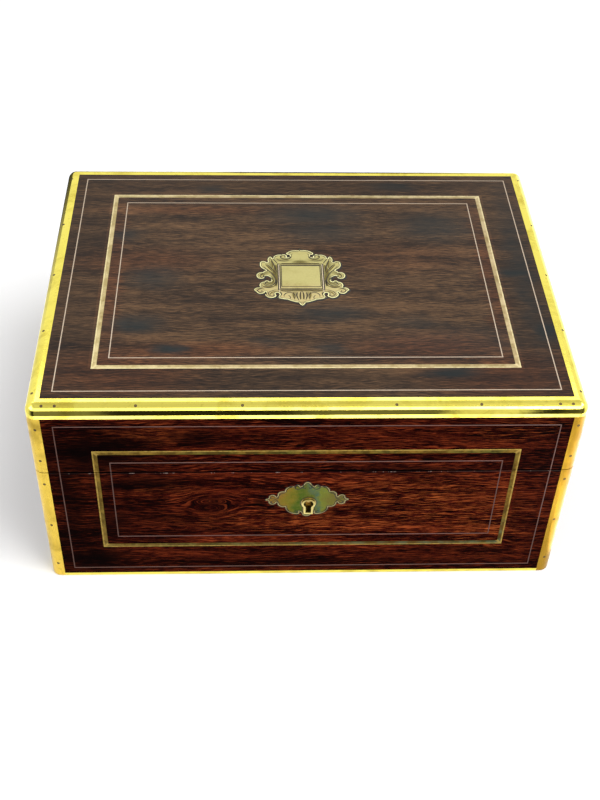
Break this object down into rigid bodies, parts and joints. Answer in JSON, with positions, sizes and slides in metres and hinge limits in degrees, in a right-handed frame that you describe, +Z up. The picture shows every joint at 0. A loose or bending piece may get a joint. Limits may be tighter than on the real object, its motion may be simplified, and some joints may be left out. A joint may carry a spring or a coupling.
{
  "type": "dressing case",
  "caption": "Brass-bound rosewood dressing case with a hinged lid, link lock, inlaid cartouche and escutcheon, lift-out tray, glass vessels and lid mirror.",
  "frame": {"origin": "centre of the rectangle that the underside of the closed case covers, on the surface it stands on", "axes": "+X to the right along the front, +Y from the front to the hinged back, +Z up"},
  "size_m": [0.305, 0.2342, 0.141],
  "materials": {
    "rosewood_veneer": "figured rosewood, french polished",
    "carcass_wood": "mahogany boards, oiled",
    "facing_wood": "rosewood facings and partitions, polished",
    "edging_brass": "polished brass edging with age wear",
    "stringing_brass": "brass lines flush with the veneer, satin",
    "plate_brass": "engraved satin brass",
    "lock_brass": "filed brass lock parts",
    "spring_steel": "blued spring steel",
    "velvet": "deep red silk velvet",
    "cut_glass": "clear cut glass",
    "plated_silver": "silver plate, softly polished",
    "mirror_silvering": "silvered glass"
  },
  "bodies": {
    "base": {"base_bottom_board": "carcass_wood", "base_front_board": "carcass_wood", "base_back_board": "carcass_wood", "base_left_board": "carcass_wood", "base_right_board": "carcass_wood", "base_front_veneer": "rosewood_veneer", "base_back_veneer": "rosewood_veneer", "base_left_veneer": "rosewood_veneer", "base_right_veneer": "rosewood_veneer", "base_bottom_strips": "edging_brass", "base_corner_strips": "edging_brass", "base_front_stringing": "stringing_brass", "escutcheon": "plate_brass", "lock_case": "lock_brass", "lock_cap_plate": "lock_brass", "keyhole_nozzle": "edging_brass", "base_screws": "lock_brass", "rim_liner": "facing_wood", "hinge_base_leaves": "lock_brass", "hinge_pins": "lock_brass", "compartment_dividers": "facing_wood", "compartment_lining": "velvet", "tray": "facing_wood", "tray_lining": "velvet", "bottle_1": "cut_glass", "bottle_top_1": "plated_silver", "bottle_2": "cut_glass", "bottle_top_2": "plated_silver", "bottle_3": "cut_glass", "bottle_top_3": "plated_silver", "long_jar_left": "cut_glass", "long_jar_lid_left": "plated_silver", "long_jar_right": "cut_glass", "long_jar_lid_right": "plated_silver"},
    "lid": {"lid_top_board": "carcass_wood", "lid_front_board": "carcass_wood", "lid_back_board": "carcass_wood", "lid_left_board": "carcass_wood", "lid_right_board": "carcass_wood", "lid_top_veneer": "rosewood_veneer", "lid_front_veneer": "rosewood_veneer", "lid_back_veneer": "rosewood_veneer", "lid_left_veneer": "rosewood_veneer", "lid_right_veneer": "rosewood_veneer", "lid_edge_strips": "edging_brass", "lid_corner_strips": "edging_brass", "top_stringing": "stringing_brass", "lid_front_stringing": "stringing_brass", "cartouche": "plate_brass", "link_plate": "lock_brass", "lid_screws": "lock_brass", "hinge_lid_leaves": "lock_brass", "mirror_ring": "facing_wood", "mirror_frame": "facing_wood", "mirror_glass": "mirror_silvering", "lid_lining": "velvet"},
    "lock_bolt": {"lock_bolt": "lock_brass", "bolt_spring": "spring_steel"},
    "mirror_button": {"mirror_button": "lock_brass"}
  },
  "joints": [
    {"name": "lid_hinge", "type": "hinge", "parent": "base", "child": "lid", "pos_m": [0, 0.1135, 0.0915], "axis": [-1, 0, 0], "range_deg": [0, 95]},
    {"name": "bolt_slide", "type": "slide", "parent": "base", "child": "lock_bolt", "axis": [1, 0, 0], "range_m": [0, 0.005]},
    {"name": "mirror_button_turn", "type": "hinge", "parent": "lid", "child": "mirror_button", "pos_m": [0, -0.10133, 0.099], "axis": [0, 0, 1], "range_deg": [0, 90]}
  ]
}
